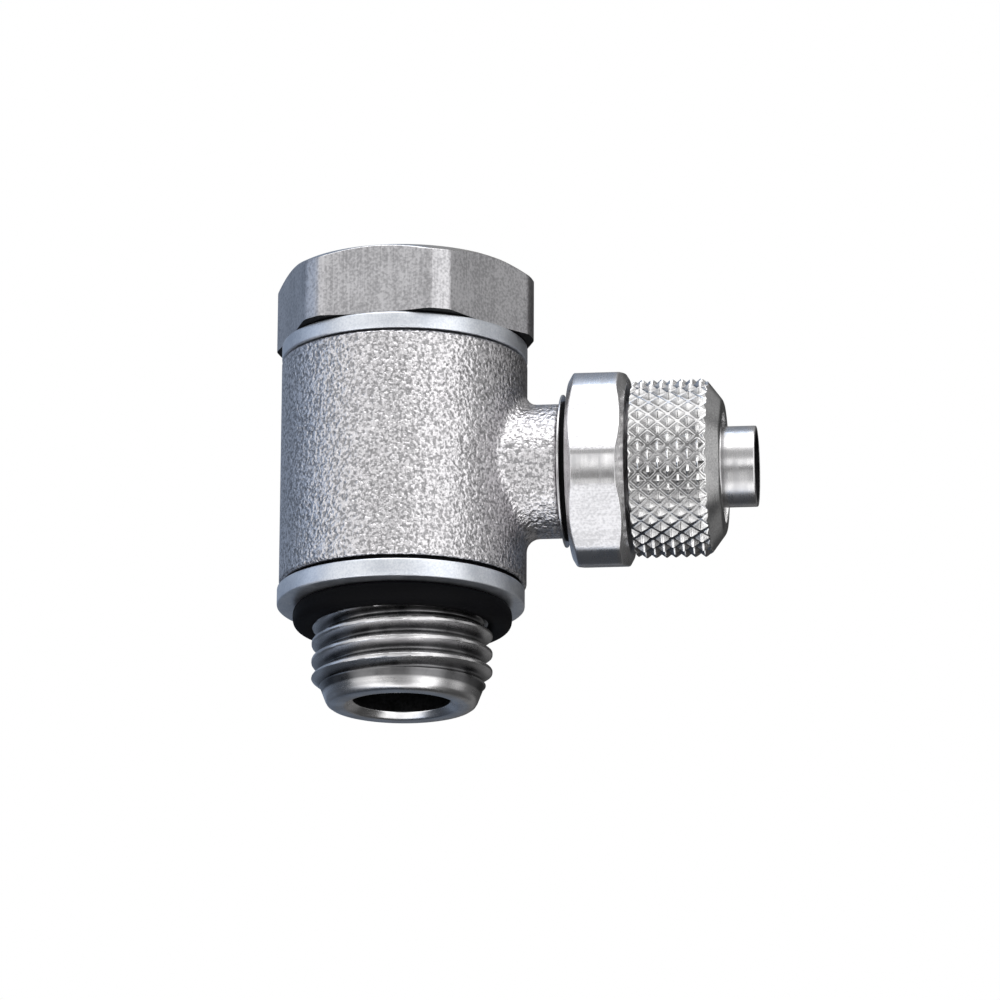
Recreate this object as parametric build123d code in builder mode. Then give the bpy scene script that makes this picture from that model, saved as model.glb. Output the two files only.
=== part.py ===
from build123d import *
import os
from math import radians, tan

# One-way flow control valve of the banjo kind, in millimetres.
# The bolt stands along Z with its head up, and the arm points along +X.
# The origin is on the bolt's axis, in the plane where the port's face meets the port seal.

# Port thread: G 1/4
thread_major = 13.157
thread_minor = 11.445
thread_pitch = 1.337
thread_length = 5.5
crest_land = 0.2
crest_count = 4
first_crest = 0.3
lead_face_drop = 1.2
lead_length = 1.7
relief_dia = 11.3

# Rings stacked on the bolt, from the port upwards
port_seal_section = 1.9
port_seal_outer_dia = 16.1
washer_dia = 18.0
lower_washer_thick = 1.3
upper_washer_thick = 1.2
washer_edge = 0.12

# Swivelling body
body_dia = 18.0
body_height = 16.75
body_land_inset = 0.55
lower_land = 0.3
upper_land = 0.15
body_edge = 0.2
neck_dia = 9.8
neck_length = 2.6
neck_fillet = 1.0
neck_edge = 0.2

# Hollow bolt
head_flats = 17.0
head_height = 5.2
head_turned_dia = 19.2
head_face_drop = 0.95
head_turn = -7.7
chamfer_angle = 30
shank_dia = 13.5
port_bore_dia = 7.0
port_bore_mouth = 0.5
annulus_floor = 6.6
annulus_roof = 16.6
annulus_dia = 10.2
hole_count = 4
free_hole_dia = 2.2
free_hole_up = 7.9
metered_hole_dia = 2.5
metered_hole_up = 12.9
seat_dia = 3.5
seat_floor = 9.2
seat_roof = 11.2
guide_dia = 5.0
guide_roof = 17.6
screw_dia = 6.0
recess_margin = 0.15
recess_depth = 4.0
recess_edge = 0.3

# Seals on the bolt
shank_ring_section = 1.5
shank_groove_width = 1.9
lower_ring_up = 5.1
upper_ring_up = 18.8
lip_seal_up = 9.5
lip_seal_height = 1.6
lip_groove_depth = 0.6
lip_wall = 0.55

# Adjusting screw
needle_tip_dia = 1.6
needle_tip_length = 1.4
needle_body_length = 1.2
stem_ring_up = 15.4
stem_ring_groove = 1.3
stem_core_dia = 2.88
slot_width = 1.0
slot_depth = 1.3

# Retaining ring in the head
ring_section = 0.8
ring_gap = 2.4
ring_below_face = 0.7

# Fitting in the arm
spigot_dia = 6.9
spigot_depth = 3.2
arm_passage_dia = 5.0
arm_washer_dia = 11.2
arm_washer_thick = 0.3
arm_seal_dia = 10.2
arm_seal_thick = 0.5
arm_seal_bore = 7.4
hex_flats = 14.0
hex_turned_dia = 15.0
hex_face_drop = 0.9
hex_width = 4.25
hex_turn = 14
nut_thread_dia = 10.0
nut_thread_pitch = 1.0
nut_thread_depth = 0.55
nut_thread_length = 3.95
clamp_cone_rise = 1.3
clamp_cone_length = 1.2
stem_dia = 6.0
stem_proud = 2.05
stem_bore_dia = 4.0
stem_mouth = 0.25

# Union nut
nut_dia = 13.0
nut_gap = 0.3
nut_length = 6.85
nut_hole_dia = 8.1
nut_face_wall = 0.75
nut_nose_length = 1.5
nut_nose_radius = 0.8
nut_cone_length = 1.0
nut_wall_end = 2.8

# Clearances
running = 0.05
thread_play = 0.05
washer_play = 0.15
needle_play = 0.05
seal_play = 0.02

# Heights and reaches that follow from the stack
lower_washer_up = port_seal_section
land_up = lower_washer_up + lower_washer_thick
body_up = land_up + lower_land
body_top = body_up + body_height
upper_washer_up = body_top + upper_land
head_up = upper_washer_up + upper_washer_thick
head_top = head_up + head_height
recess_floor = head_top - recess_depth
recess_dia = screw_dia + 2 * recess_margin
arm_up = body_up + body_height / 2
body_land_dia = body_dia - 2 * body_land_inset
washer_bore = shank_dia + 2 * washer_play
needle_dia = seat_dia - 2 * needle_play
stem_ring_section = (guide_dia - stem_core_dia) / 2 - 2 * seal_play
shank_groove_dia = shank_dia - 2 * (shank_ring_section + seal_play)
body_bore = shank_dia + 2 * running
neck_reach = body_dia / 2 + neck_length
arm_washer_at = neck_reach
arm_seal_at = arm_washer_at + arm_washer_thick
hex_at = arm_seal_at + arm_seal_thick
hex_end = hex_at + hex_width
nut_thread_end = hex_end + nut_thread_length
nut_at = hex_end + nut_gap
nut_end = nut_at + nut_length
stem_reach = nut_end + stem_proud
spigot_bore = spigot_dia + 2 * thread_play
arm_axis = Axis((0, 0, arm_up), (1, 0, 0))

os.makedirs("parts", exist_ok=True)


def save(piece, name):
    piece.part.label = name
    export_step(piece.part, f"parts/{name}.step")


def ring(mid_dia, section, up):
    """A rubber ring of round section about the bolt's axis."""
    with BuildPart() as made:
        with BuildSketch(Plane.XZ):
            with Locations((mid_dia / 2, up)):
                Circle(section / 2)
        revolve(axis=Axis.Z)
    return made


def washer(outer_dia, bore_dia, thick, up):
    """A flat ring about the bolt's axis with broken outer edges."""
    with BuildPart() as made:
        with BuildSketch(Plane.XY.offset(up)):
            Circle(outer_dia / 2)
            Circle(bore_dia / 2, mode=Mode.SUBTRACT)
        extrude(amount=thick)
        chamfer(made.edges().filter_by(GeomType.CIRCLE).group_by(SortBy.RADIUS)[-1], washer_edge)
    return made


def chamfered_barrel(length, dia, face_dia):
    """Half section of the turned corners of a hexagon: radius against length."""
    drop = (dia - face_dia) / 2 * tan(radians(chamfer_angle))
    return [
        (0, 0),
        (0, face_dia / 2),
        (drop, dia / 2),
        (length - drop, dia / 2),
        (length, face_dia / 2),
        (length, 0),
    ]


# Bolt: head, shank with its grooves, port thread and the drilled passages
barrel = chamfered_barrel(head_height, head_turned_dia, head_turned_dia - 2 * head_face_drop)
shank_rings = [lower_ring_up, upper_ring_up]
lead_up = lead_length - thread_length
lead_face_dia = thread_major - 2 * lead_face_drop

with BuildPart() as hollow_bolt:
    with BuildSketch(Plane.XY.offset(head_up)):
        RegularPolygon(head_flats / 2, 6, major_radius=False, rotation=head_turn)
    extrude(amount=head_height)
    with BuildSketch(Plane.XZ):
        with BuildLine():
            Polyline([(r, head_up + z) for z, r in barrel], close=True)
        make_face()
    revolve(axis=Axis.Z, mode=Mode.INTERSECT)
    # shank, relief behind the thread, thread blank and lead cone
    with BuildSketch(Plane.XZ):
        with BuildLine():
            Polyline(
                (0, head_up),
                (shank_dia / 2, head_up),
                (shank_dia / 2, lower_washer_up),
                (relief_dia / 2, lower_washer_up),
                (relief_dia / 2, crest_land / 2 - first_crest),
                (thread_major / 2, crest_land / 2 - first_crest),
                (thread_major / 2, lead_up),
                (lead_face_dia / 2, -thread_length),
                (0, -thread_length),
                close=True,
            )
        make_face()
    revolve(axis=Axis.Z)
    # thread grooves between the crests
    for crest in range(crest_count - 1):
        top = -first_crest - crest * thread_pitch - crest_land / 2
        low = top - thread_pitch + crest_land
        mid = (top + low) / 2
        with BuildSketch(Plane.XZ):
            with BuildLine():
                Polyline(
                    (thread_major / 2 + crest_land, top),
                    (thread_major / 2, top),
                    (thread_minor / 2, mid + crest_land / 2),
                    (thread_minor / 2, mid - crest_land / 2),
                    (thread_major / 2, low),
                    (thread_major / 2 + crest_land, low),
                    close=True,
                )
            make_face()
        revolve(axis=Axis.Z, mode=Mode.SUBTRACT)
    # annular passage and the seal grooves around the shank
    for low, high, floor_dia in [
        (annulus_floor, annulus_roof, annulus_dia),
        (lip_seal_up, lip_seal_up + lip_seal_height, annulus_dia - 2 * lip_groove_depth),
        *[
            (up - shank_groove_width / 2, up + shank_groove_width / 2, shank_groove_dia)
            for up in shank_rings
        ],
    ]:
        with BuildSketch(Plane.XY.offset(low)):
            Circle(shank_dia)
            Circle(floor_dia / 2, mode=Mode.SUBTRACT)
        extrude(amount=high - low, mode=Mode.SUBTRACT)
    # passages along the axis: port bore, seat, needle chamber, guide, thread and recess
    with BuildSketch(Plane.XZ):
        with BuildLine():
            Polyline(
                (0, -thread_length),
                (port_bore_dia / 2 + port_bore_mouth, -thread_length),
                (port_bore_dia / 2, port_bore_mouth - thread_length),
                (port_bore_dia / 2, seat_floor),
                (seat_dia / 2, seat_floor),
                (seat_dia / 2, seat_roof),
                (guide_dia / 2, seat_roof),
                (guide_dia / 2, guide_roof),
                (screw_dia / 2 + thread_play, guide_roof),
                (screw_dia / 2 + thread_play, recess_floor),
                (recess_dia / 2, recess_floor),
                (recess_dia / 2, head_top - recess_edge),
                (recess_dia / 2 + recess_edge, head_top),
                (0, head_top),
                close=True,
            )
        make_face()
    revolve(axis=Axis.Z, mode=Mode.SUBTRACT)
    # groove for the retaining ring
    ring_up = head_top - ring_below_face - ring_section / 2
    with BuildSketch(Plane.XZ):
        with Locations((recess_dia / 2, ring_up)):
            Circle(ring_section / 2 + seal_play)
    revolve(axis=Axis.Z, mode=Mode.SUBTRACT)
    # free flow holes below the lip seal, metered flow holes above it
    for up, dia in [(free_hole_up, free_hole_dia), (metered_hole_up, metered_hole_dia)]:
        for index in range(hole_count):
            outwards = Vector(1, 0, 0).rotate(Axis.Z, index * 360 / hole_count)
            with BuildSketch(Plane((0, 0, up), x_dir=(0, 0, 1), z_dir=outwards)):
                Circle(dia / 2)
            extrude(amount=shank_dia / 2, mode=Mode.SUBTRACT)
save(hollow_bolt, "hollow_bolt")

# Rings on the bolt
port_seal = ring(port_seal_outer_dia - port_seal_section, port_seal_section, port_seal_section / 2)
save(port_seal, "port_seal")
lower_washer = washer(washer_dia, washer_bore, lower_washer_thick, lower_washer_up)
save(lower_washer, "lower_washer")
upper_washer = washer(washer_dia, washer_bore, upper_washer_thick, upper_washer_up)
save(upper_washer, "upper_washer")

shank_ring_mid = shank_dia - shank_ring_section
for name, up in [("lower_shank_o_ring", lower_ring_up), ("upper_shank_o_ring", upper_ring_up)]:
    save(ring(shank_ring_mid, shank_ring_section, up), name)

# One-way seal: a cup whose lip opens upwards, so air passes only from the port side
lip_foot_dia = annulus_dia - 2 * lip_groove_depth + 2 * seal_play
lip_outer_dia = body_bore - 2 * running
with BuildPart() as check_lip_seal:
    with BuildSketch(Plane.XZ):
        with BuildLine():
            Polyline(
                (lip_foot_dia / 2, lip_seal_up + seal_play),
                (lip_outer_dia / 2 - lip_wall, lip_seal_up + seal_play),
                (lip_outer_dia / 2, lip_seal_up + lip_seal_height - seal_play),
                (lip_outer_dia / 2 - lip_wall, lip_seal_up + lip_seal_height - seal_play),
                (lip_outer_dia / 2 - 2 * lip_wall, lip_seal_up + lip_seal_height / 2),
                (lip_foot_dia / 2, lip_seal_up + lip_seal_height / 2),
                close=True,
            )
        make_face()
    revolve(axis=Axis.Z)
save(check_lip_seal, "check_lip_seal")

# Retaining ring: an open wire ring that stops the screw from leaving the head
with BuildPart() as retaining_ring:
    with BuildSketch(Plane.XZ):
        with Locations((recess_dia / 2, ring_up)):
            Circle(ring_section / 2)
    revolve(axis=Axis.Z)
    with BuildSketch(Plane.XY.offset(ring_up - ring_section)):
        with Locations((recess_dia / 2, 0)):
            Rectangle(recess_dia, ring_gap)
    extrude(amount=2 * ring_section, mode=Mode.SUBTRACT)
save(retaining_ring, "retaining_ring")

# Adjusting screw with its needle, and the ring that seals its stem
with BuildPart() as adjusting_screw:
    with BuildSketch(Plane.XZ):
        with BuildLine():
            Polyline(
                (0, seat_roof - needle_tip_length),
                (needle_tip_dia / 2, seat_roof - needle_tip_length),
                (needle_dia / 2, seat_roof - needle_play),
                (needle_dia / 2, seat_roof + needle_body_length),
                (guide_dia / 2 - needle_play, seat_roof + needle_body_length + 1),
                (guide_dia / 2 - needle_play, stem_ring_up - stem_ring_groove / 2),
                (stem_core_dia / 2, stem_ring_up - stem_ring_groove / 2),
                (stem_core_dia / 2, stem_ring_up + stem_ring_groove / 2),
                (guide_dia / 2 - needle_play, stem_ring_up + stem_ring_groove / 2),
                (guide_dia / 2 - needle_play, guide_roof + needle_play),
                (screw_dia / 2, guide_roof + needle_play),
                (screw_dia / 2, recess_floor),
                (0, recess_floor),
                close=True,
            )
        make_face()
    revolve(axis=Axis.Z)
    chamfer(adjusting_screw.edges().filter_by(GeomType.CIRCLE).group_by(Axis.Z)[-1], recess_edge)
    with BuildSketch(Plane.XY.offset(recess_floor - slot_depth)):
        Rectangle(screw_dia * 2, slot_width)
    extrude(amount=slot_depth, mode=Mode.SUBTRACT)
save(adjusting_screw, "adjusting_screw")
stem_ring_mid = stem_core_dia + 2 * seal_play + stem_ring_section
save(ring(stem_ring_mid, stem_ring_section, stem_ring_up), "needle_o_ring")

# Swivelling body: a barrel with a side neck, bored for the bolt and the fitting
with BuildPart() as banjo_body:
    with BuildSketch(Plane.XY.offset(body_up)):
        Circle(body_dia / 2)
    extrude(amount=body_height)
    with BuildSketch(Plane.YZ):
        with Locations((0, arm_up)):
            Circle(neck_dia / 2)
    extrude(amount=neck_reach)
    seam = banjo_body.edges().filter_by(GeomType.BSPLINE)
    fillet(seam, neck_fillet)
    rims = banjo_body.edges().filter_by(GeomType.CIRCLE)
    fillet(rims.filter_by_position(Axis.X, neck_reach - 0.1, neck_reach + 0.1), neck_edge)
    fillet(banjo_body.edges().group_by(Axis.Z)[0] + banjo_body.edges().group_by(Axis.Z)[-1], body_edge)
    with BuildSketch(Plane.XY.offset(land_up)):
        Circle(body_land_dia / 2)
    extrude(amount=lower_land + body_height + upper_land)
    with BuildSketch(Plane.XY.offset(land_up)):
        Circle(body_bore / 2)
    extrude(amount=lower_land + body_height + upper_land, mode=Mode.SUBTRACT)
    with BuildSketch(Plane.YZ):
        with Locations((0, arm_up)):
            Circle(arm_passage_dia / 2)
    extrude(amount=neck_reach, mode=Mode.SUBTRACT)
    with BuildSketch(Plane.YZ.offset(neck_reach - spigot_depth)):
        with Locations((0, arm_up)):
            Circle(spigot_bore / 2)
    extrude(amount=spigot_depth, mode=Mode.SUBTRACT)
save(banjo_body, "banjo_body")

# Thin metal washer and rubber ring between the neck and the fitting
for name, dia, bore, thick, reach in [
    ("arm_washer", arm_washer_dia, spigot_bore, arm_washer_thick, arm_washer_at),
    ("arm_seal", arm_seal_dia, arm_seal_bore, arm_seal_thick, arm_seal_at),
]:
    with BuildPart() as flat_ring:
        with BuildSketch(Plane.YZ.offset(reach)):
            with Locations((0, arm_up)):
                Circle(dia / 2)
                Circle(bore / 2, mode=Mode.SUBTRACT)
        extrude(amount=thick)
    save(flat_ring, name)

# Fitting: spigot, hexagon, nut thread, clamping cone and tube stem
hex_barrel = chamfered_barrel(hex_width, hex_turned_dia, hex_turned_dia - 2 * hex_face_drop)
with BuildPart() as fitting_body:
    with BuildSketch(Plane.YZ.offset(hex_at)):
        with Locations((0, arm_up)):
            RegularPolygon(hex_flats / 2, 6, major_radius=False, rotation=hex_turn)
    extrude(amount=hex_width)
    with BuildSketch(Plane.XZ):
        with BuildLine():
            Polyline([(hex_at + x, arm_up + r) for x, r in hex_barrel], close=True)
        make_face()
    revolve(axis=arm_axis, mode=Mode.INTERSECT)
    with BuildSketch(Plane.XZ):
        with BuildLine():
            Polyline(
                (neck_reach - spigot_depth + thread_play, arm_up),
                (neck_reach - spigot_depth + thread_play, arm_up + spigot_dia / 2),
                (hex_at, arm_up + spigot_dia / 2),
                (hex_end, arm_up + spigot_dia / 2),
                (hex_end, arm_up + nut_thread_dia / 2),
                (nut_thread_end, arm_up + nut_thread_dia / 2),
                (nut_thread_end, arm_up + stem_dia / 2 + clamp_cone_rise),
                (nut_thread_end + clamp_cone_length, arm_up + stem_dia / 2),
                (stem_reach, arm_up + stem_dia / 2),
                (stem_reach, arm_up),
                close=True,
            )
        make_face()
    revolve(axis=arm_axis)
    # nut thread as ring grooves at its pitch
    for turn in range(int(nut_thread_length / nut_thread_pitch)):
        near = hex_end + turn * nut_thread_pitch
        with BuildSketch(Plane.XZ):
            with BuildLine():
                Polyline(
                    (near + crest_land, arm_up + nut_thread_dia / 2),
                    (near + nut_thread_pitch / 2, arm_up + nut_thread_dia / 2 - nut_thread_depth),
                    (near + nut_thread_pitch - crest_land, arm_up + nut_thread_dia / 2),
                    close=True,
                )
            make_face()
        revolve(axis=arm_axis, mode=Mode.SUBTRACT)
    with BuildSketch(Plane.XZ):
        with BuildLine():
            Polyline(
                (neck_reach - spigot_depth, arm_up),
                (neck_reach - spigot_depth, arm_up + stem_bore_dia / 2),
                (stem_reach - stem_mouth, arm_up + stem_bore_dia / 2),
                (stem_reach, arm_up + stem_bore_dia / 2 + stem_mouth),
                (stem_reach, arm_up),
                close=True,
            )
        make_face()
    revolve(axis=arm_axis, mode=Mode.SUBTRACT)
save(fitting_body, "fitting_body")

# Union nut: knurled sleeve with a rounded nose, threaded inside, open for the tube
nut_thread_floor = nut_end - nut_wall_end
with BuildPart() as union_nut:
    with BuildSketch(Plane.XZ):
        with BuildLine():
            Polyline(
                (nut_at, arm_up + nut_thread_dia / 2 + thread_play),
                (nut_at, arm_up + nut_dia / 2),
                (nut_end - nut_nose_length, arm_up + nut_dia / 2),
                (nut_end, arm_up + nut_hole_dia / 2 + nut_face_wall),
                (nut_end, arm_up + nut_hole_dia / 2),
                (nut_thread_floor + nut_cone_length, arm_up + nut_hole_dia / 2),
                (nut_thread_floor, arm_up + nut_thread_dia / 2 + thread_play),
                close=True,
            )
        make_face()
        nose = vertices().filter_by_position(Axis.X, nut_end - 0.01, nut_end + 0.01).sort_by(Axis.Y)[-1]
        fillet(nose, nut_nose_radius)
    revolve(axis=arm_axis)
save(union_nut, "union_nut")
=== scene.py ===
import math

import bpy
import numpy as np
from mathutils import Matrix, Vector


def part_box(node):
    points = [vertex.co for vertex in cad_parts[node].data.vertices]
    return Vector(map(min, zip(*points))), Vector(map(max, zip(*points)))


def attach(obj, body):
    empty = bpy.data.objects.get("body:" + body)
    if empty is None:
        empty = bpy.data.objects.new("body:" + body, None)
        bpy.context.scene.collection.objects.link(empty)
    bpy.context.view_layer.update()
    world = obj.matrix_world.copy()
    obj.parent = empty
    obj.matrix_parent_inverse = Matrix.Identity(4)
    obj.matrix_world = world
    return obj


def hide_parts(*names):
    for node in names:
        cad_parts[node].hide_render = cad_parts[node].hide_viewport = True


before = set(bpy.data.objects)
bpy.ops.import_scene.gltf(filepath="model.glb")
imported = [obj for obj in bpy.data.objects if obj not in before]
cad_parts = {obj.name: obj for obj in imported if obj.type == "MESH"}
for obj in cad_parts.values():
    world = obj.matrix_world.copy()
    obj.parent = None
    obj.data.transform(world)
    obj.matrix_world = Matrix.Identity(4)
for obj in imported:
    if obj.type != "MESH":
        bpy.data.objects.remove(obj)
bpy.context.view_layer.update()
mm = 0.001

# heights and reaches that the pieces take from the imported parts
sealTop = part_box("port_seal")[1].z
bodyLow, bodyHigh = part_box("banjo_body")
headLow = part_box("upper_washer")[1].z
boltLow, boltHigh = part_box("hollow_bolt")
armUp = sum(corner.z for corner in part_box("fitting_body")) / 2
fittingLow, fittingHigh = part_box("fitting_body")
nutLow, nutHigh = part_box("union_nut")
screwLow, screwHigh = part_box("adjusting_screw")
print("frame loaded", round(boltLow.z / mm, 2), round(boltHigh.z / mm, 2), round(armUp / mm, 3))


# shader maths
class Amount:
    # a number that varies over a surface
    def __init__(self, web, socket):
        self.web = web
        self.socket = socket

    def __add__(self, other):
        return self.web.maths("ADD", self, other)

    def __sub__(self, other):
        return self.web.maths("SUBTRACT", self, other)

    def __rsub__(self, other):
        return self.web.maths("SUBTRACT", other, self)

    def __mul__(self, other):
        return self.web.maths("MULTIPLY", self, other)

    def __pow__(self, other):
        return self.web.maths("POWER", self, other)

    __radd__ = __add__
    __rmul__ = __mul__


class Web:
    # the nodes of one material, or of the world
    def __init__(self, owner):
        owner.use_nodes = True
        self.tree = owner.node_tree
        self.tree.nodes.clear()

    def node(self, kind, settings=None, sockets=None):
        made = self.tree.nodes.new(kind)
        for name, value in (settings or {}).items():
            setattr(made, name, value)
        for name, value in (sockets or {}).items():
            self.feed(made.inputs[name], value)
        return made

    def feed(self, socket, value):
        if isinstance(value, Amount):
            value = value.socket
        if isinstance(value, bpy.types.NodeSocket):
            self.tree.links.new(value, socket)
        else:
            socket.default_value = value

    def maths(self, operation, *values):
        made = self.node("ShaderNodeMath", {"operation": operation}, dict(enumerate(values)))
        return Amount(self, made.outputs[0])

    def step(self, value, low, high):
        # 0 below low, 1 above high, smooth between; turned over where low is above high
        names = {0: value, 1: low, 2: high, 3: 0.0, 4: 1.0}
        made = self.node("ShaderNodeMapRange", {"interpolation_type": "SMOOTHSTEP"}, names)
        return Amount(self, made.outputs[0])

    def band(self, value, low, high, soft):
        return self.step(value, low - soft, low + soft) * self.step(value, high + soft, high - soft)

    def colours(self, mask, first, second):
        made = self.node("ShaderNodeMix", {"data_type": "RGBA"}, {0: mask, 6: first, 7: second})
        return made.outputs[2]

    def grain(self, place, size, detail=2.0):
        # noise from 0 to 1 whose patches are about size across
        names = {"Vector": place, "Scale": 1 / size, "Detail": detail}
        return Amount(self, self.node("ShaderNodeTexNoise", None, names).outputs["Fac"])

    def joined(self, x, y, z):
        return self.node("ShaderNodeCombineXYZ", None, {0: x, 1: y, 2: z}).outputs[0]


def tint(red, green, blue):
    return (red, green, blue, 1.0)


class Finish(Web):
    # a material with its coordinates ready: place, x, y, z, and the radius about its turning axis
    def __init__(self, name, turning=None):
        self.material = bpy.data.materials.new(name)
        super().__init__(self.material)
        self.shader = self.node("ShaderNodeBsdfPrincipled")
        self.node("ShaderNodeOutputMaterial", None, {0: self.shader.outputs[0]})
        self.place = self.node("ShaderNodeTexCoord").outputs["Object"]
        parts = self.node("ShaderNodeSeparateXYZ", None, {0: self.place})
        self.x, self.y, self.z = [Amount(self, socket) for socket in parts.outputs]
        if turning == "bolt":
            self.along = self.z
            self.radius = (self.x * self.x + self.y * self.y) ** 0.5
        if turning == "arm":
            lifted = self.z - armUp
            self.along = self.x
            self.radius = (lifted * lifted + self.y * self.y) ** 0.5

    def set(self, **values):
        labels = {
            "colour": "Base Color",
            "rough": "Roughness",
            "metal": "Metallic",
            "shine": "Specular IOR Level",
        }
        for name, value in values.items():
            self.feed(self.shader.inputs[labels[name]], value)

    def bump(self, heights):
        # heights: list of (height, depth in metres), stacked one on another
        normal = None
        for height, depth in heights:
            names = {"Height": height, "Distance": depth, "Strength": 1.0}
            if normal:
                names["Normal"] = normal
            normal = self.node("ShaderNodeBump", None, names).outputs[0]
        self.feed(self.shader.inputs["Normal"], normal)


# finishes
blasted = {
    "light": tint(0.9, 0.88, 0.9),
    "dark": tint(0.32, 0.315, 0.325),
    # painted shade colour for the lands under the flat rings
    "paintedShade": tint(0.012, 0.012, 0.013),
    "rough": 0.27,
    "grainSize": 0.25 * mm,
    "grainDepth": 0.1 * mm,
    "pitSize": 0.16 * mm,
    "lumpSize": 0.42 * mm,
    "lumpDepth": 0.09 * mm,
    "cloudSize": 3.2 * mm,
    "landRadius": 8.72 * mm,
    "lowLand": 0.34 * mm,
    "highLand": 0.17 * mm,
    "landEdge": 0.03 * mm,
}


def blastedNickel():
    made = Finish("blasted nickel", "bolt")
    fine = made.grain(made.place, blasted["grainSize"], 1.5)
    pits = made.grain(made.place, blasted["pitSize"], 1.0)
    lumps = made.grain(made.place, blasted["lumpSize"])
    cloud = made.grain(made.place, blasted["cloudSize"], 3.0)
    speckle = made.step(fine * 0.65 + pits * 0.35, 0.4, 0.58)
    colour = made.colours(speckle * 0.85 + cloud * 0.15, blasted["dark"], blasted["light"])
    # painted shade: the narrow lands under the flat rings are coloured near-black, where the rings shade
    # them
    lowEnd = bodyLow.z + blasted["lowLand"]
    highEnd = bodyHigh.z - blasted["highLand"]
    low = made.step(made.z, lowEnd, lowEnd - blasted["landEdge"])
    high = made.step(made.z, highEnd, highEnd + blasted["landEdge"])
    land = made.step(made.radius, blasted["landRadius"], blasted["landRadius"] - 0.05 * mm)
    paintedShade = made.maths("MAXIMUM", low, high) * land
    made.set(colour=made.colours(paintedShade, colour, blasted["paintedShade"]), metal=1.0)
    made.set(rough=blasted["rough"] + 0.14 * cloud - 0.05 * speckle + 0.3 * paintedShade)
    made.bump([(lumps, blasted["lumpDepth"]), (fine, blasted["grainDepth"])])
    return made.material


turned = {
    "light": tint(0.83, 0.82, 0.825),
    "dark": tint(0.58, 0.575, 0.585),
    # painted shade colour for the thread roots
    "grooveShade": tint(0.1, 0.1, 0.105),
    "rough": 0.17,
    "lineGap": 0.07 * mm,
    "lineDepth": 0.004 * mm,
    "broadGap": 0.5 * mm,
    "broadDepth": 0.006 * mm,
    "cloudSize": 1.6 * mm,
    "speckSize": 0.12 * mm,
    "speckDepth": 0.002 * mm,
}
# where painted shade darkens the port thread's roots: by radius, and by height
threadRootShade = {"floor": 5.85 * mm, "crest": 6.42 * mm, "low": -4.6 * mm, "high": 1.9 * mm, "edge": 0.1 * mm}


def turnedNickel(name, turning, grooveShade=None):
    made = Finish(name, turning)
    path = made.along + made.radius * 1.618      # runs along barrels and across faces
    lines = made.grain(made.joined(path, 0.0, 0.0), turned["lineGap"], 3.0)
    broad = made.grain(made.joined(path, 0.0, 0.0), turned["broadGap"])
    cloud = made.grain(made.place, turned["cloudSize"], 3.0)
    speck = made.grain(made.place, turned["speckSize"])
    stain = made.step(cloud * 0.6 + broad * 0.4, 0.35, 0.65)
    colour = made.colours(stain, turned["dark"], turned["light"])
    # painted shade: the thread roots are darkened, in patches
    if grooveShade:
        shadedRoots = made.step(made.radius, grooveShade["crest"], grooveShade["floor"])
        shadedRoots = shadedRoots * made.band(made.along, grooveShade["low"], grooveShade["high"], grooveShade["edge"])
        colour = made.colours(shadedRoots * (0.45 + 0.8 * cloud), colour, turned["grooveShade"])
    made.set(colour=colour, metal=1.0)
    made.set(rough=turned["rough"] + 0.12 * lines + 0.1 * (1 - stain))
    made.bump([(broad, turned["broadDepth"]), (lines, turned["lineDepth"]), (speck, turned["speckDepth"])])
    return made.material


drawn = {
    "stretch": 0.03,
    "rough": 0.24,
    "lineGap": 0.12 * mm,
    "lineDepth": 0.006 * mm,
    "streakGap": 0.6 * mm,
    "streakDepth": 0.003 * mm,
    "cloudSize": 2.4 * mm,
    "speckSize": 0.2 * mm,
    "speckDepth": 0.016 * mm,
}


def drawnNickel(name, turning, dark, light):
    # flats of the hexagons: fine lines along the bar
    made = Finish(name, turning)
    if turning == "bolt":
        stretched = made.joined(made.x, made.y, made.z * drawn["stretch"])
    else:
        stretched = made.joined(made.x * drawn["stretch"], made.y, made.z)
    lines = made.grain(stretched, drawn["lineGap"], 3.0)
    streaks = made.grain(stretched, drawn["streakGap"])
    cloud = made.grain(made.place, drawn["cloudSize"], 3.0)
    speck = made.grain(made.place, drawn["speckSize"], 2.5)
    shade = made.step(lines * 0.2 + streaks * 0.1 + cloud * 0.2 + speck * 0.5, 0.38, 0.6)
    made.set(colour=made.colours(shade, dark, light), metal=1.0)
    made.set(rough=drawn["rough"] + 0.14 * lines + 0.06 * cloud)
    made.bump([(streaks, drawn["streakDepth"]), (lines, drawn["lineDepth"]), (speck, drawn["speckDepth"])])
    return made.material


def plainMetal(name, light, dark, rough, depth, grainSize):
    made = Finish(name)
    fine = made.grain(made.place, grainSize)
    cloud = made.grain(made.place, 1.8 * mm, 3.0)
    shade = made.step(fine * 0.5 + cloud * 0.5, 0.34, 0.64)
    made.set(colour=made.colours(shade, dark, light), metal=1.0)
    made.set(rough=rough + 0.12 * cloud)
    made.bump([(fine, depth)])
    return made.material


knurled = {
    "light": tint(0.88, 0.875, 0.87),
    "dark": tint(0.6, 0.595, 0.6),
    # painted shade colour for the knurl grooves
    "grooveShade": tint(0.06, 0.06, 0.065),
    "grooveShadeShare": 0.5,
    "rough": 0.14,
    "grainSize": 0.12 * mm,
    "grainDepth": 0.006 * mm,
    "cloudSize": 1.8 * mm,
    "unshadedRadius": 6.3 * mm,
    "shadedRadius": 6.1 * mm,
    "unshadedNose": 1.6 * mm,
}


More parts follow.
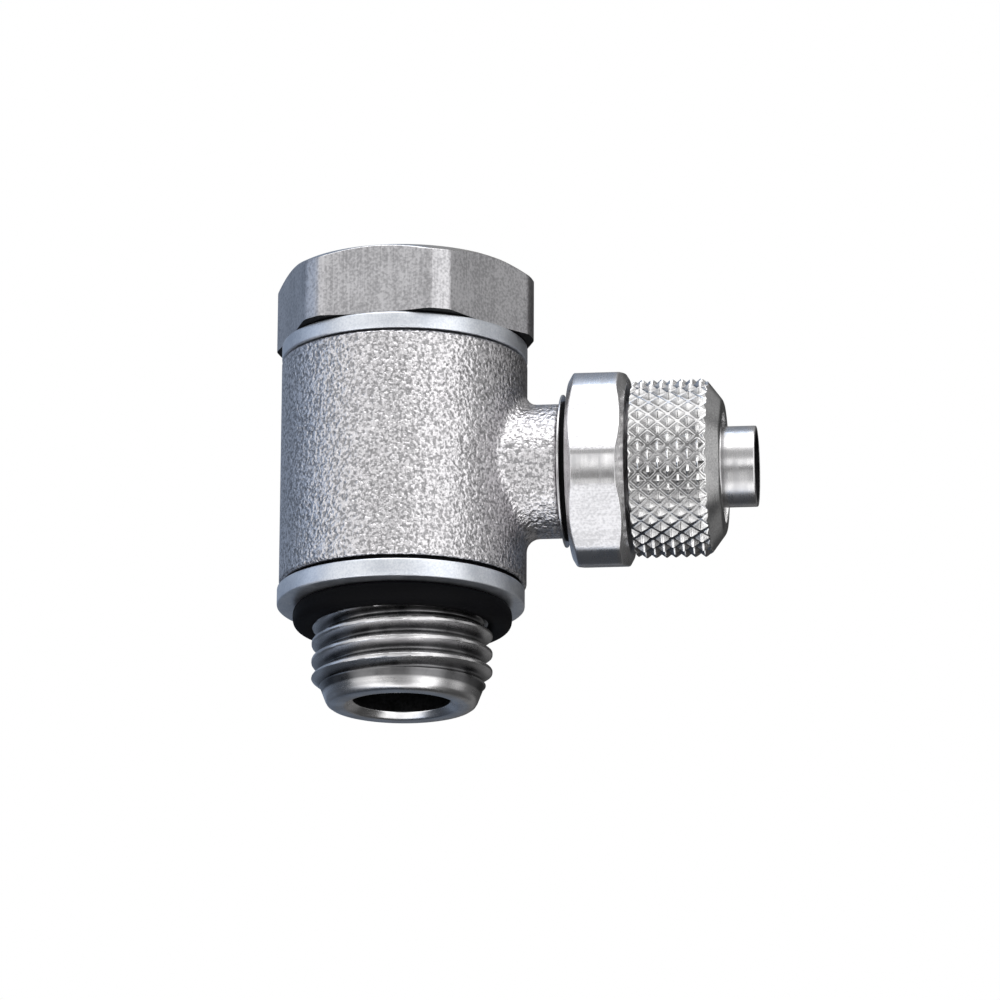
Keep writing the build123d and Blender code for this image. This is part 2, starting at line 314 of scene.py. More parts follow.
def knurledNickel():
    made = Finish("knurled nickel", "arm")
    fine = made.grain(made.place, knurled["grainSize"])
    cloud = made.grain(made.place, knurled["cloudSize"], 3.0)
    shade = made.step(fine * 0.5 + cloud * 0.5, 0.34, 0.64)
    colour = made.colours(shade, knurled["dark"], knurled["light"])
    # painted shade in the grooves between the points, left off near the nose
    noseAt = nutHigh.x - knurled["unshadedNose"]
    deep = made.step(made.radius, knurled["unshadedRadius"], knurled["shadedRadius"])
    deep = deep * made.step(made.along, noseAt, noseAt - 0.2 * mm)
    made.set(colour=made.colours(deep * knurled["grooveShadeShare"], colour, knurled["grooveShade"]), metal=1.0)
    made.set(rough=knurled["rough"] + 0.12 * cloud)
    made.bump([(fine, knurled["grainDepth"])])
    return made.material


rubber = {
    "light": tint(0.003, 0.003, 0.004),
    "dark": tint(0.001, 0.001, 0.0015),
    "rough": 0.5,
    "shine": 0.08,
    "grainSize": 0.1 * mm,
    "grainDepth": 0.006 * mm,
    "cloudSize": 1.1 * mm,
    "cloudDepth": 0.01 * mm,
}


def blackRubber():
    made = Finish("black rubber")
    fine = made.grain(made.place, rubber["grainSize"])
    cloud = made.grain(made.place, rubber["cloudSize"], 3.0)
    made.set(colour=made.colours(cloud, rubber["dark"], rubber["light"]), metal=0.0)
    made.set(rough=rubber["rough"] + 0.2 * cloud, shine=rubber["shine"])
    made.bump([(cloud, rubber["cloudDepth"]), (fine, rubber["grainDepth"])])
    return made.material


bodyFinish = blastedNickel()
boltFinish = turnedNickel("turned nickel of the bolt", "bolt", threadRootShade)
armFinish = turnedNickel("turned nickel of the fitting", "arm")
screwFinish = turnedNickel("turned nickel of the screw", "bolt")
headFlatFinish = drawnNickel(
    "drawn flats of the head", "bolt", dark=tint(0.42, 0.415, 0.43), light=tint(0.7, 0.692, 0.71)
)
armFlatFinish = drawnNickel(
    "drawn flats of the fitting", "arm", dark=tint(0.55, 0.545, 0.56), light=tint(0.79, 0.782, 0.8)
)
nutFinish = knurledNickel()
rubberFinish = blackRubber()
washerFinish = plainMetal(
    "washer",
    light=tint(0.9, 0.93, 0.98),
    dark=tint(0.72, 0.76, 0.83),
    rough=0.34,
    depth=0.01 * mm,
    grainSize=0.15 * mm,
)
# painted shade: near-black colour for the insides of bores and the head's underside
shadedBoreFinish = plainMetal(
    "painted bore shade",
    light=tint(0.016, 0.016, 0.017),
    dark=tint(0.005, 0.005, 0.005),
    rough=0.5,
    depth=0.01 * mm,
    grainSize=0.2 * mm,
)
springFinish = plainMetal(
    "spring steel",
    light=tint(0.36, 0.36, 0.37),
    dark=tint(0.16, 0.16, 0.17),
    rough=0.3,
    depth=0.004 * mm,
    grainSize=0.1 * mm,
)
print("finishes made")


# the two turning axes: which coordinates are across, up and along, and how high the axis lies
axes = {
    "bolt": {"order": (0, 1, 2), "letter": "Z", "lift": 0.0},
    "arm": {"order": (1, 2, 0), "letter": "X", "lift": armUp},
}


def softened(corners, turns=3):
    # corners: (radius, along, rounding, spacing of the run that follows), all in millimetres
    line = []
    count = len(corners)
    for index, (radius, along, rounding, spacing) in enumerate(corners):
        here = Vector((radius, along))
        before = Vector(corners[index - 1][:2]) - here
        after = Vector(corners[(index + 1) % count][:2]) - here
        if rounding:
            reach = rounding / math.tan(before.angle(after) / 2)
            reach = min(reach, 0.48 * before.length, 0.48 * after.length)
            start = here + before.normalized() * reach
            end = here + after.normalized() * reach
            for turn in range(turns + 1):
                t = turn / turns
                point = start * (1 - t) ** 2 + here * 2 * t * (1 - t) + end * t ** 2
                line.append((point.x, point.y, spacing if turn == turns else 0))
        else:
            line.append((radius, along, spacing))
    spaced = []
    for index, (radius, along, spacing) in enumerate(line):
        nextRadius, nextAlong = line[(index + 1) % len(line)][:2]
        length = math.hypot(nextRadius - radius, nextAlong - along)
        parts = max(1, math.ceil(length / spacing)) if spacing else 1
        for part in range(parts):
            t = part / parts
            spaced.append((radius + (nextRadius - radius) * t, along + (nextAlong - along) * t))
    return spaced


def spun(name, corners, steps, axis, closed=True):
    # a turned blank: a point extruded along the half section, then turned about the axis
    line = softened(corners)
    if closed:
        line.append(line[0])
    if axis == "bolt":
        points = [Vector((radius, 0, along)) * mm for radius, along in line]
    else:
        points = [Vector((along, 0, radius)) * mm for radius, along in line]
    bpy.ops.object.select_all(action="DESELECT")
    bpy.ops.mesh.primitive_plane_add(size=mm)
    piece = bpy.context.object
    piece.name = name
    piece.data.name = name
    bpy.ops.object.mode_set(mode="EDIT")
    bpy.ops.mesh.select_mode(type="VERT")
    bpy.ops.mesh.select_all(action="SELECT")
    bpy.ops.mesh.merge(type="CENTER")
    bpy.ops.transform.translate(value=points[0])
    for before, after in zip(points, points[1:]):
        bpy.ops.mesh.extrude_region_move(TRANSFORM_OT_translate={"value": after - before})
    bpy.ops.object.mode_set(mode="OBJECT")
    turning = piece.modifiers.new("turning", "SCREW")
    turning.axis = axes[axis]["letter"]
    turning.steps = steps
    turning.render_steps = steps
    turning.use_merge_vertices = True
    turning.merge_threshold = 0.001 * mm
    bpy.ops.object.modifier_apply(modifier="turning")
    piece.location.z = axes[axis]["lift"]
    bpy.ops.object.transform_apply(location=True, rotation=False, scale=False)
    bpy.ops.object.mode_set(mode="EDIT")
    bpy.ops.mesh.select_all(action="SELECT")
    bpy.ops.mesh.remove_doubles(threshold=0.002 * mm)
    bpy.ops.mesh.normals_make_consistent(inside=False)
    bpy.ops.object.mode_set(mode="OBJECT")
    return piece


def reshaped(piece, axis, rule):
    # rule takes radius, angle and along in millimetres and gives the new radius
    places = np.empty(len(piece.data.vertices) * 3)
    piece.data.vertices.foreach_get("co", places)
    places = places.reshape(-1, 3)
    first, second, third = axes[axis]["order"]
    lift = axes[axis]["lift"]
    across, up, along = places[:, first], places[:, second] - lift, places[:, third]
    radius = np.hypot(across, up)
    angle = np.arctan2(up, across)
    scale = rule(radius / mm, angle, along / mm) * mm / np.maximum(radius, 1e-9)
    places[:, first] = across * scale
    places[:, second] = lift + up * scale
    piece.data.vertices.foreach_set("co", places.ravel())
    piece.data.update()


def softMin(first, second, softness):
    # the smaller of two, rounded where they meet
    near = np.maximum(softness - np.abs(first - second), 0) / softness
    return np.minimum(first, second) - near * near * softness / 4


def flatsAt(angle, apothem, facing):
    # how far out the flats of a hexagon lie at each angle
    turn = np.mod(angle - facing + math.pi / 6, math.pi / 3) - math.pi / 6
    return apothem / np.cos(turn)


threadForm = {"crestSoft": 0.12, "rootSoft": 0.24}


def threadAt(angle, along, thread):
    # radius of a right-hand thread with rounded crests and roots
    turn = along / thread["pitch"] - angle / math.tau - thread["phase"]
    wave = 1 - np.abs(2 * np.mod(turn, 1) - 1)
    height = np.clip((wave - 1 / 6) * 1.5, -0.3, 1.3)
    height = softMin(height, 1.0, threadForm["crestSoft"])
    height = -softMin(-height, 0.0 * height, threadForm["rootSoft"])
    return thread["crest"] - thread["depth"] * (1 - height)


def finished(piece, body, materials, smoothAngle=35):
    # shading, materials, and the body that the piece rides on
    for material in materials:
        piece.data.materials.append(material)
    bpy.ops.object.select_all(action="DESELECT")
    bpy.context.view_layer.objects.active = piece
    piece.select_set(True)
    bpy.ops.object.shade_smooth_by_angle(angle=math.radians(smoothAngle))
    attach(piece, body)
    print(piece.name, len(piece.data.polygons), "faces")


def seenDown(axis, place, lift=0.0):
    # across, up and along for someone who looks down a turning axis
    across, up, along = [place[index] for index in axes[axis]["order"]]
    return across, up - lift, along


def markShadedBore(piece, axis, radius, low, high):
    # painted shade: faces inside a bore, away from its mouth, take the third material, which is near-black
    for face in piece.data.polygons:
        across, up, along = seenDown(axis, face.center / mm, axes[axis]["lift"] / mm)
        if math.hypot(across, up) < radius and low < along < high:
            face.material_index = 2


def markFlats(piece, axis, apothem, facing, low, high):
    # faces that lie on a hexagon's flats take the second material
    for face in piece.data.polygons:
        across, up, along = seenDown(axis, face.center / mm, axes[axis]["lift"] / mm)
        if not low < along < high:
            continue
        lean = seenDown(axis, face.normal)
        turn = (math.atan2(up, across) - facing + math.pi / 6) % (math.pi / 3) - math.pi / 6
        upright = math.hypot(lean[0], lean[1]) > 0.98
        if upright and abs(math.hypot(across, up) * math.cos(turn) - apothem) < 0.02:
            face.material_index = 1


def trench(outer, floor, low, high, rounding=0, spacing=0):
    # corners of a square groove turned into a barrel
    walls = [(outer, low), (floor, low), (floor, high), (outer, high)]
    return [(radius, along, rounding, spacing) for radius, along in walls]


# hollow bolt
bolt = {
    "steps": 360,
    "flats": 17.4,
    "barrel": 9.6,
    "faceRadius": 8.65,
    "headTurn": math.radians(22.3),
    "pad": 8.6,
    "padUp": 0.13,
    "cornerSoft": 0.14,
    "shank": 6.75,
    "relief": 5.65,
    "portBore": 3.5,
    "mouth": 0.5,
    "leadFace": 5.3785,
    "leadWaist": (5.95, 1.5),
    "leadLength": 2.0,
    "threadTop": 0.7,
    "fadeFrom": 0.3,
    "fadeRadius": 6.58,
    "fadeSlope": 1.6,
    "runOut": 0.3,
    # radius, lower end and upper end of what is turned into the shank
    "lowGroove": (5.23, 4.15, 6.05),
    "annulus": (5.1, 6.6, 16.6),
    "lipSeat": (4.5, 9.5, 11.1),
    "highGroove": (5.23, 17.85, 19.75),
    "recess": 3.15,
    "recessDepth": 4.0,
    "recessEdge": 0.3,
    "screwBore": 3.05,
    "guide": (17.6, 2.5),
    "seat": (9.2, 11.2, 1.75),
    "ringSection": 0.42,
}
portThread = {
    "pitch": 1.337,
    "crest": 6.5785,
    "depth": 0.856,
    "crestUp": -2.24,
    "crestTurn": math.radians(186.5),
}
portThread["phase"] = portThread["crestUp"] / portThread["pitch"] - portThread["crestTurn"] / math.tau - 0.5


def markHead(piece, under, top):
    # the head's rim is drawn like its flats, and its underside outside the pad takes the near-black third
    # material as painted shade
    for face in piece.data.polygons:
        centre = face.center / mm
        out = math.hypot(centre.x, centre.y)
        lean = face.normal.z
        if out > bolt["pad"] - 0.05 and under - 0.05 < centre.z < under + 0.3 and lean < -0.3:
            face.material_index = 2
        elif out > bolt["pad"] and under < centre.z < top - 0.2 and abs(lean) < 0.3:
            face.material_index = 1


def makeBolt():
    low = boltLow.z / mm
    top = boltHigh.z / mm
    under = headLow / mm
    drop = (bolt["barrel"] - bolt["faceRadius"]) * math.tan(math.radians(30))
    crest = portThread["crest"]
    waist, waistUp = bolt["leadWaist"]
    recessFloor = top - bolt["recessDepth"]
    ringUp = sum(corner.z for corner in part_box("retaining_ring")) / 2 / mm
    seatLow, seatHigh, seatRadius = bolt["seat"]
    guideTop, guideRadius = bolt["guide"]
    annulus = trench(bolt["shank"], *bolt["annulus"])
    corners = [
        (bolt["portBore"], low + bolt["mouth"], 0.25, 0.2),
        (bolt["portBore"] + bolt["mouth"], low, 0.35, 0.3),
        (bolt["leadFace"], low, 0.62, 0.07),
        (waist, low + waistUp, 0.15, 0.07),
        (crest, low + bolt["leadLength"], 0, 0.055),
        (crest, bolt["threadTop"], 0, 0.07),
        (bolt["relief"], bolt["threadTop"] + 0.2, 0.1, 1.0),
        (bolt["relief"], sealTop / mm, 0, 1.0),
        (bolt["shank"], sealTop / mm, 0, 3.0),
    ]
    corners += trench(bolt["shank"], *bolt["lowGroove"])
    corners += annulus[:2] + trench(bolt["annulus"][0], *bolt["lipSeat"]) + annulus[2:]
    corners += trench(bolt["shank"], *bolt["highGroove"])
    corners += [
        (bolt["shank"], under, 0.0, 0.4),
        (bolt["pad"], under, 0.03, 0.05),
        (bolt["barrel"], under + bolt["padUp"], 0.05, 0.35),
        (bolt["barrel"], top - drop, 0.1, 0.07),
        (bolt["faceRadius"], top, 0.12, 0.5),
        (bolt["recess"] + bolt["recessEdge"], top, 0.05, 0.2),
        (bolt["recess"], top - bolt["recessEdge"], 0.05, 0.2),
        (bolt["recess"], ringUp + bolt["ringSection"], 0.03, 0.2),
        (bolt["recess"] + bolt["ringSection"], ringUp, 0.3, 0.2),
        (bolt["recess"], ringUp - bolt["ringSection"], 0, 0.9),
        (bolt["recess"], recessFloor, 0.05, 0.5),
        (bolt["screwBore"], recessFloor, 0, 0),
        (bolt["screwBore"], guideTop, 0, 0),
        (guideRadius, guideTop, 0, 0),
        (guideRadius, seatHigh, 0, 0),
        (seatRadius, seatHigh, 0, 0),
        (seatRadius, seatLow, 0, 0),
        (bolt["portBore"], seatLow, 0, 3.0),
    ]
    piece = spun("hexHeadBolt", corners, bolt["steps"], "bolt")

    def cut(radius, angle, along):
        flats = flatsAt(angle, bolt["flats"] / 2, bolt["headTurn"])
        head = (along > under - 0.01) & (radius > bolt["recess"] + 1)
        shaved = np.where(head, softMin(radius, flats, bolt["cornerSoft"]), radius)
        # the thread fades out under the rubber ring, and has no groove below the lead cone's waist
        wound = threadAt(angle, along, portThread)
        faded = bolt["fadeRadius"] - bolt["fadeSlope"] * (along - bolt["fadeFrom"])
        clear = np.where(along > bolt["fadeFrom"], faded, bolt["barrel"])
        wound = softMin(wound, np.maximum(clear, bolt["relief"]), 0.1)
        wound = wound + np.clip((low + waistUp - along) / bolt["runOut"], 0, 1) * 1.5
        threaded = (along < bolt["threadTop"] + 0.01) & (radius > bolt["portBore"] + 1.1)
        return np.where(threaded, softMin(shaved, wound, 0.08), shaved)

    reshaped(piece, "bolt", cut)
    markFlats(piece, "bolt", bolt["flats"] / 2, bolt["headTurn"], under, top)
    markShadedBore(piece, "bolt", bolt["portBore"] + 0.05, low + 0.4, guideTop)
    markHead(piece, under, top)
    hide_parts("hollow_bolt")
    finished(piece, "bolt", [boltFinish, headFlatFinish, shadedBoreFinish])


makeBolt()


# flat rings and the port ring
ringStack = {"edge": 0.13, "bore": 6.9, "steps": 256, "playLeft": 0.13}


def makeWasher(name, node, shift):
    low, high = [corner.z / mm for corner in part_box(node)]
    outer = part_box(node)[1].x / mm
    corners = [
        (ringStack["bore"], low, 0.05, 1.0),
        (outer, low, ringStack["edge"], 0.3),
        (outer, high, ringStack["edge"], 1.0),
        (ringStack["bore"], high, 0.05, 1.0),
    ]
    piece = spun(name, corners, ringStack["steps"], "bolt")
    bpy.ops.object.mode_set(mode="EDIT")
    bpy.ops.mesh.select_all(action="SELECT")
    bpy.ops.transform.translate(value=(-shift * mm, 0, 0))
    bpy.ops.object.mode_set(mode="OBJECT")
    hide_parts(node)
    finished(piece, "bolt", [washerFinish])


makeWasher("upperFlatRing", "upper_washer", 0.0)
makeWasher("lowerFlatRing", "lower_washer", ringStack["playLeft"])

portRing = {"wide": 0.9, "half": 0.8, "mid": 7.06, "up": 1.1, "squareness": 0.7, "around": 56, "steps": 256}


def makePortRing():
    # squeezed flat by the washer, so its section is between a circle and a square
    corners = []
    for index in range(portRing["around"]):
        angle = math.tau * index / portRing["around"]
        across = math.copysign(abs(math.sin(angle)) ** portRing["squareness"], math.sin(angle))
        along = math.copysign(abs(math.cos(angle)) ** portRing["squareness"], math.cos(angle))
        radius = portRing["mid"] + portRing["wide"] * across
        corners.append((radius, portRing["up"] + portRing["half"] * along, 0, 0))
    piece = spun("portRubberRing", corners, portRing["steps"], "bolt")
    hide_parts("port_seal")
    finished(piece, "bolt", [rubberFinish])


makePortRing()


# fitting: hexagon, nut thread, clamping cone and stem
fitting = {
    "steps": 400,
    "flats": 14.0,
    "barrel": 7.5,
    "faceRadius": 6.6,
    "turn": 44.0,
    "cornerSoft": 0.14,
    "spigot": 3.45,
    "bore": 2.0,
    "stem": 2.95,
    "mouth": 0.66,
    "mouthLength": 1.1,
    "coneRise": 1.3,
    "coneLength": 1.2,
    "threadLength": 3.95,
    "leadIn": 0.5,
    "hexWidth": 4.25,
}
nutThread = {"pitch": 1.0, "crest": 5.0, "depth": 0.55, "phase": 0.0}


def makeFitting():
    start = fittingLow.x / mm
    end = fittingHigh.x / mm
    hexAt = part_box("arm_seal")[1].x / mm
    hexEnd = hexAt + fitting["hexWidth"]
    threadEnd = hexEnd + fitting["threadLength"]
    drop = (fitting["barrel"] - fitting["faceRadius"]) * math.tan(math.radians(30))
    corners = [
        (fitting["bore"], start, 0.1, 2.0),
        (fitting["spigot"], start, 0.15, 2.0),
        (fitting["spigot"], hexAt, 0.0, 0.5),
        (fitting["faceRadius"], hexAt, 0.06, 0.07),
        (fitting["barrel"], hexAt + drop, 0.1, 0.25),
        (fitting["barrel"], hexEnd - drop, 0.1, 0.07),
        (fitting["faceRadius"], hexEnd, 0.06, 0.4),
        (nutThread["crest"], hexEnd, 0.0, 0.05),
        (nutThread["crest"], threadEnd - fitting["leadIn"], 0.0, 0.05),
        (fitting["stem"] + fitting["coneRise"], threadEnd, 0.05, 0.3),
        (fitting["stem"], threadEnd + fitting["coneLength"], 0.3, 0.6),
        (fitting["stem"], end, 0.12, 0.2),
        (fitting["bore"] + fitting["mouth"], end, 0.05, 0.2),
        (fitting["bore"], end - fitting["mouthLength"], 0.05, 3.0),
    ]
    piece = spun("hexStemFitting", corners, fitting["steps"], "arm")
    facing = math.radians(fitting["turn"])

    def cut(radius, angle, along):
        flats = flatsAt(angle, fitting["flats"] / 2, facing)
        hexagon = (along > hexAt - 0.01) & (along < hexEnd + 0.01)
        shaved = np.where(hexagon, softMin(radius, flats, fitting["cornerSoft"]), radius)
        wound = threadAt(angle, along, nutThread)
        threaded = (along > hexEnd + 0.02) & (along < threadEnd) & (radius > 4.2)
        return np.where(threaded, softMin(shaved, wound, 0.06), shaved)

    reshaped(piece, "arm", cut)
    markFlats(piece, "arm", fitting["flats"] / 2, facing, hexAt, hexEnd)
    markShadedBore(piece, "arm", fitting["bore"] + fitting["mouth"] - 0.03, start, end - 0.02)
    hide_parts("fitting_body")
    finished(piece, "elbow", [armFinish, armFlatFinish, shadedBoreFinish])


makeFitting()


# union nut
nut = {
    "steps": 600,
    "cells": 30,
    "cellLength": 1.43,
    "knurlDepth": 0.42,
    "knurlPast": 0.6,
    "grooveFloor": 0.1,
    "pointShare": 0.48,
    "outer": 6.5,
    "noseLength": 1.3,
    "short": 0.28,
    "noseRadius": 4.8,
    "noseSoft": 0.8,
    "hole": 4.05,
    "threadRadius": 5.05,
    "wallEnd": 2.8,
    "innerCone": 1.0,
    "edge": 0.25,
}


def makeNut():
    start = nutLow.x / mm
    end = nutHigh.x / mm - nut["short"]
    outer = nut["outer"]
    noseAt = end - nut["noseLength"]
    corners = [
        (nut["threadRadius"] + nut["edge"], start, 0, 0.3),
        (outer - nut["edge"], start, 0.05, 0.08),
        (outer, start + nut["edge"], 0.05, 0.08),
        (outer, noseAt, 0.15, 0.08),
        (nut["noseRadius"], end, nut["noseSoft"], 0.2),
        (nut["hole"], end, 0.08, 0.5),
        (nut["hole"], end - nut["wallEnd"] + nut["innerCone"], 0, 0.5),
        (nut["threadRadius"], end - nut["wallEnd"], 0, 0.5),
        (nut["threadRadius"], start + nut["edge"], 0, 0.5),
    ]
    piece = spun("knurledNut", corners, nut["steps"], "arm")

    def groove(turn):
        # 1 on the groove's floor, 0 at the points
        off = np.abs(np.mod(turn + 0.5, 1) - 0.5)
        return np.clip((nut["pointShare"] - off) / (nut["pointShare"] - nut["grooveFloor"]), 0, 1)

    def knurl(radius, angle, along):
        around = angle * nut["cells"] / math.tau
        reach = (along - start) / nut["cellLength"]
        deep = np.maximum(groove(around + reach), groove(around - reach))
        knurled = outer - nut["knurlDepth"] * deep
        knurlEnd = noseAt + nut["knurlPast"]
        outside = (radius > nut["threadRadius"] + 0.5) & (along > start) & (along < knurlEnd)
        return np.where(outside, softMin(radius, knurled, 0.04), radius)

    reshaped(piece, "arm", knurl)
    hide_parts("union_nut")
    finished(piece, "nut", [nutFinish], 50)


makeNut()


# adjusting screw, with the groove for its ring
screw = {
    "steps": 192,
    "radius": 3.0,
    "edge": 0.3,
    "slotWidth": 1.0,
    "slotDepth": 1.3,
    "tip": 0.8,
    "needle": 1.7,
    "needleFrom": 1.35,
    "needleTo": 2.6,
    "stem": 2.45,
    "stemFrom": 3.6,
    "ringGroove": (1.44, 14.75, 16.05),
    "threadFrom": 17.65,
    "threadLead": 0.4,
}
screwThread = {"pitch": 0.75, "crest": 3.0, "depth": 0.4, "phase": 0.0}


def makeScrew():
    low = screwLow.z / mm
    top = screwHigh.z / mm
    corners = [
        (0.0, low, 0, 3.0),
        (screw["tip"], low, 0.1, 0.4),
        (screw["needle"], low + screw["needleFrom"], 0.05, 1.0),
        (screw["needle"], low + screw["needleTo"], 0.05, 1.0),
        (screw["stem"], low + screw["stemFrom"], 0.05, 3.0),
    ]
    corners += trench(screw["stem"], *screw["ringGroove"], 0.05, 1.0)
    corners += [
        (screw["stem"], screw["threadFrom"], 0.0, 0.2),
        (screw["radius"] - screw["threadLead"], screw["threadFrom"], 0.0, 0.06),
        (screw["radius"], screw["threadFrom"] + screw["threadLead"], 0.0, 0.05),
        (screw["radius"], top - screw["edge"], 0.04, 0.05),
        (screw["radius"] - screw["edge"], top, 0.04, 0.3),
        (0.0, top, 0, 0),
    ]
    piece = spun("slottedScrew", corners, screw["steps"], "bolt", closed=False)

    def cut(radius, angle, along):
        wound = threadAt(angle, along, screwThread)
        threaded = (along > screw["threadFrom"] + 0.01) & (radius > screw["stem"] + 0.05)
        return np.where(threaded, softMin(radius, wound, 0.05), radius)

    reshaped(piece, "bolt", cut)
    bpy.ops.object.select_all(action="DESELECT")
    bpy.ops.mesh.primitive_cube_add(size=1, location=(0, 0, (top - screw["slotDepth"] / 2 + 0.5) * mm))
    cutter = bpy.context.object
    cutter.scale = (8 * mm, screw["slotWidth"] * mm, (screw["slotDepth"] + 1) * mm)
    bpy.ops.object.transform_apply(location=False, rotation=False, scale=True)
    bpy.context.view_layer.objects.active = piece
    slotting = piece.modifiers.new("slot", "BOOLEAN")
    slotting.object = cutter
    slotting.operation = "DIFFERENCE"
    slotting.solver = "EXACT"
    bpy.ops.object.modifier_apply(modifier="slot")
    bpy.data.objects.remove(cutter)
    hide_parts("adjusting_screw")
    finished(piece, "needle", [screwFinish])


makeScrew()


# thin collar against the neck
collar = {"bore": 3.55, "hub": 4.7, "rim": 5.57, "rimThick": 0.14, "steps": 256}


def makeCollar():
    low, high = [corner.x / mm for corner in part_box("arm_washer")]
    corners = [
        (collar["bore"], low, 0.02, 0.6),
        (collar["hub"], low, 0.03, 0.3),
        (collar["rim"], high - collar["rimThick"], 0.04, 0.1),
        (collar["rim"], high, 0.05, 0.6),
        (collar["bore"], high, 0.02, 1.0),
    ]
    piece = spun("thinCollar", corners, collar["steps"], "arm")
    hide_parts("arm_washer")
    finished(piece, "elbow", [armFinish])


makeCollar()


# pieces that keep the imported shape
for node, material in {
    "banjo_body": bodyFinish,
    "arm_seal": rubberFinish,
    "lower_shank_o_ring": rubberFinish,
    "upper_shank_o_ring": rubberFinish,
    "check_lip_seal": rubberFinish,
    "needle_o_ring": rubberFinish,
    "retaining_ring": springFinish,
}.items():
    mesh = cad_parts[node].data
    mesh.materials.clear()
    mesh.materials.append(material)
print("packed shapes finished")


# camera
camera = {
    "azimuth": math.radians(6.5),
    "elevation": math.radians(16.0),
    "roll": math.radians(-0.30),
    "distance": 444.4 * mm,
    "right": 7.03 * mm,
    "up": -0.84 * mm,
    "level": 10.935 * mm,
    "lens": 219.35,
}


def makeCamera():
    turn, rise, roll = camera["azimuth"], camera["elevation"], camera["roll"]
    right = Vector((math.cos(turn), math.sin(turn), 0))
    away = Vector((-math.sin(turn), math.cos(turn), 0))
    forward = away * math.cos(rise) + Vector((0, 0, math.sin(rise)))
    up = Vector((0, 0, math.cos(rise))) - away * math.sin(rise)
    spot = Vector((0, 0, camera["level"])) - forward * camera["distance"]
    spot += right * camera["right"] + up * camera["up"]
    across = right * math.cos(roll) - up * math.sin(roll)
    upwards = right * math.sin(roll) + up * math.cos(roll)
    made = bpy.data.objects.new("camera", bpy.data.cameras.new("camera"))
    bpy.context.scene.collection.objects.link(made)
    made.matrix_world = Matrix((across, upwards, -forward)).transposed().to_4x4()
    made.location = spot
    made.data.lens = camera["lens"]
    made.data.sensor_width = 36
    made.data.clip_start = 0.01
    made.data.clip_end = 20
    bpy.context.scene.camera = made


makeCamera()


# floor and light
stage = {
    "floorUp": -0.45,
    "floorSize": 12.0,
    "floorColour": tint(0.93, 0.93, 0.93),
    "backdrop": tint(1.0, 1.0, 1.0),
}


def makeFloor():
    bpy.ops.object.select_all(action="DESELECT")
    bpy.ops.mesh.primitive_grid_add(x_subdivisions=8, y_subdivisions=8, size=stage["floorSize"])
    floor = bpy.context.object
    floor.name = "paleFloor"
    bpy.ops.object.mode_set(mode="EDIT")
    bpy.ops.mesh.select_all(action="SELECT")
    bpy.ops.transform.translate(value=(0, 0, stage["floorUp"]))
    bpy.ops.object.mode_set(mode="OBJECT")
    made = Finish("pale floor")
    made.set(colour=stage["floorColour"], rough=0.7, metal=0.0)
    floor.data.materials.append(made.material)
    floor.visible_glossy = False
    floor.visible_shadow = False


# degrees round the part from the viewer, degrees of height, and brightness
sky = {
    "base": 0.05,
    # from, to, soft edge, brightness, and the heights over which the box fades in
    "boxes": [
        (-99.0, -76.0, 3.0, 0.6, (-8.0, 4.0)),
        (-76.0, -33.0, 3.0, 0.8, None),
        (-34.0, 21.0, 4.0, 0.36, None),
        (21.0, 60.0, 2.5, 1.25, None),
        (60.0, 70.0, 2.0, 0.3, None),
        (79.0, 105.0, 2.5, 0.5, (-34.0, -24.0)),
        (-84.0, -16.0, 5.0, 0.7, (-25.0, -30.0)),
        (18.0, 60.0, 4.0, 0.5, (-25.0, -30.0)),
    ],
    "farLeft": 0.24,
    "lowBehind": 0.12,
    "wall": 1.4,
    "gap": 0.04,
    "ground": 1.5,
    "overhead": 2.4,
    "highBehind": 0.3,
    "coolSide": tint(0.72, 0.88, 1.15),
}


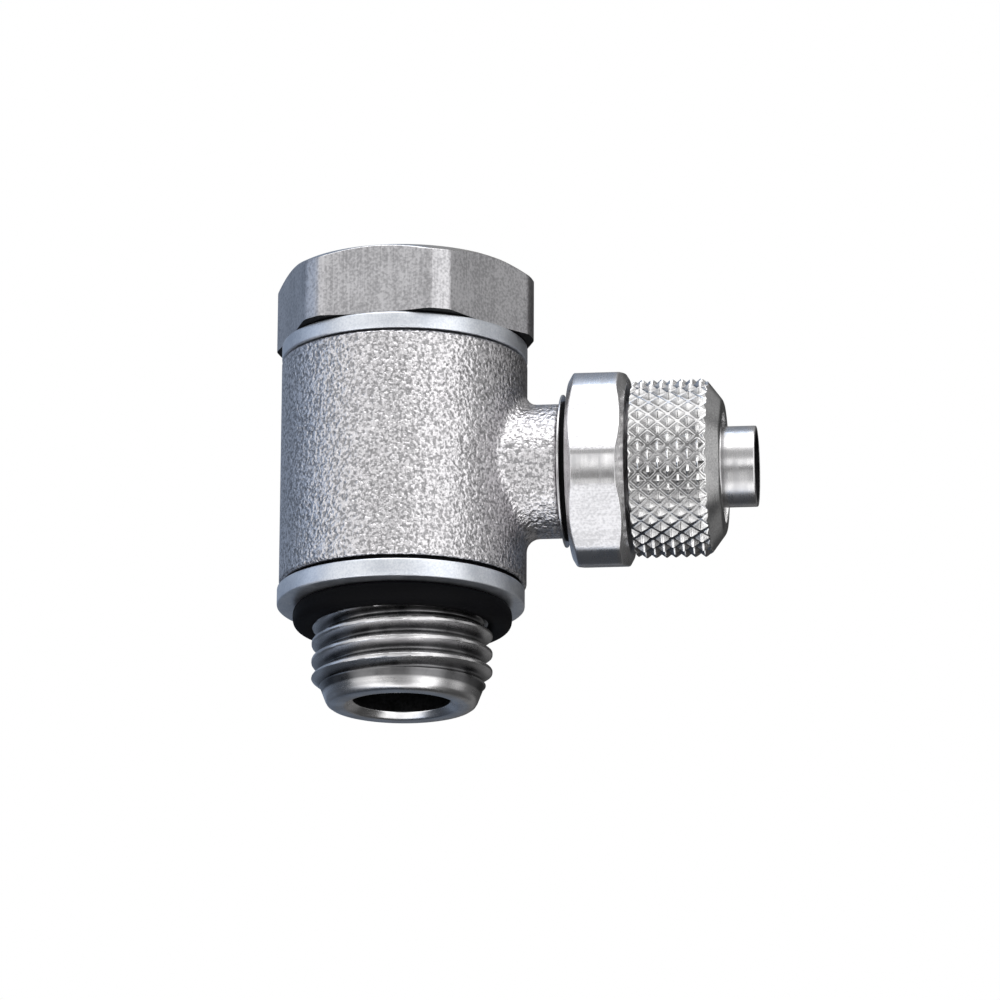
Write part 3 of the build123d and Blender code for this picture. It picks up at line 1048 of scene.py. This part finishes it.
def makeWorld():
    world = bpy.data.worlds.new("studio")
    bpy.context.scene.world = world
    web = Web(world)
    turn = camera["azimuth"]
    direction = web.node("ShaderNodeTexCoord").outputs["Generated"]
    parts = web.node("ShaderNodeSeparateXYZ", None, {0: direction})
    x, y, z = [Amount(web, socket) for socket in parts.outputs]
    side = x * math.cos(turn) + y * math.sin(turn)
    front = x * math.sin(turn) - y * math.cos(turn)
    degrees = 180 / math.pi
    azimuth = web.maths("ARCTAN2", side, front) * degrees
    height = web.maths("ARCSINE", web.maths("MINIMUM", web.maths("MAXIMUM", z, -1.0), 1.0)) * degrees
    facing = web.step(front, -0.15, 0.25)      # 1 on the viewer's side, 0 behind
    behind = 1 - facing

    def laid(level, brightness, mask):
        # one light painted over what is there
        return level + (brightness - level) * mask

    # soft boxes left and right, with a grey gap between them
    level = sky["base"] + sky["farLeft"] * web.step(azimuth, -80.0, -110.0) * web.step(height, -8.0, 4.0)
    for start, end, edge, brightness, fade in sky["boxes"]:
        box = brightness * web.band(azimuth, start, end, edge)
        level = level + (box * web.step(height, *fade) if fade else box)
    # low lights behind, which only a higher viewpoint meets
    low = web.band(height, -30.0, -6.0, 5.0) * web.step(web.maths("ABSOLUTE", azimuth), 110.0, 130.0)
    level = level + sky["lowBehind"] * low
    # light wall at the horizon, a dark gap under it, and lit ground
    wall = web.band(height, -12.0, 6.0, 2.5) * web.band(azimuth, -50.0, 50.0, 10.0)
    level = laid(level, sky["wall"], wall)
    gap = web.band(height, -25.0, -14.0, 2.0) * web.band(azimuth, -36.0, 14.0, 8.0)
    level = laid(level, sky["gap"], gap)
    level = laid(level, sky["ground"], web.step(height, -60.0, -68.0) * web.step(front, -0.12, 0.05))
    # large soft box overhead, as wide as the part, reaching a little behind
    overhead = web.step(height, 36.0, 44.0) * facing
    overhead = web.maths("MAXIMUM", overhead, web.step(height, 76.0, 84.0))
    level = laid(level, sky["overhead"], overhead * web.band(side, -0.5, 0.52, 0.07))
    level = laid(level, sky["highBehind"], web.band(height, 30.0, 76.0, 5.0) * behind)
    cool = web.colours(web.step(azimuth, -70.0, -90.0), tint(1, 1, 1), sky["coolSide"])
    shone = web.node("ShaderNodeVectorMath", {"operation": "SCALE"}, {0: cool, "Scale": level}).outputs[0]
    light = web.node("ShaderNodeBackground", None, {0: shone, 1: 1.0}).outputs[0]
    # the camera itself sees a plain backdrop
    plain = web.node("ShaderNodeBackground", None, {0: stage["backdrop"], 1: 1.0}).outputs[0]
    seen = web.node("ShaderNodeLightPath").outputs["Is Camera Ray"]
    mixed = web.node("ShaderNodeMixShader", None, {0: seen, 1: light, 2: plain}).outputs[0]
    web.node("ShaderNodeOutputWorld", None, {0: mixed})


makeFloor()
makeWorld()
bpy.context.scene.view_settings.view_transform = "Standard"
print("stage and light made")
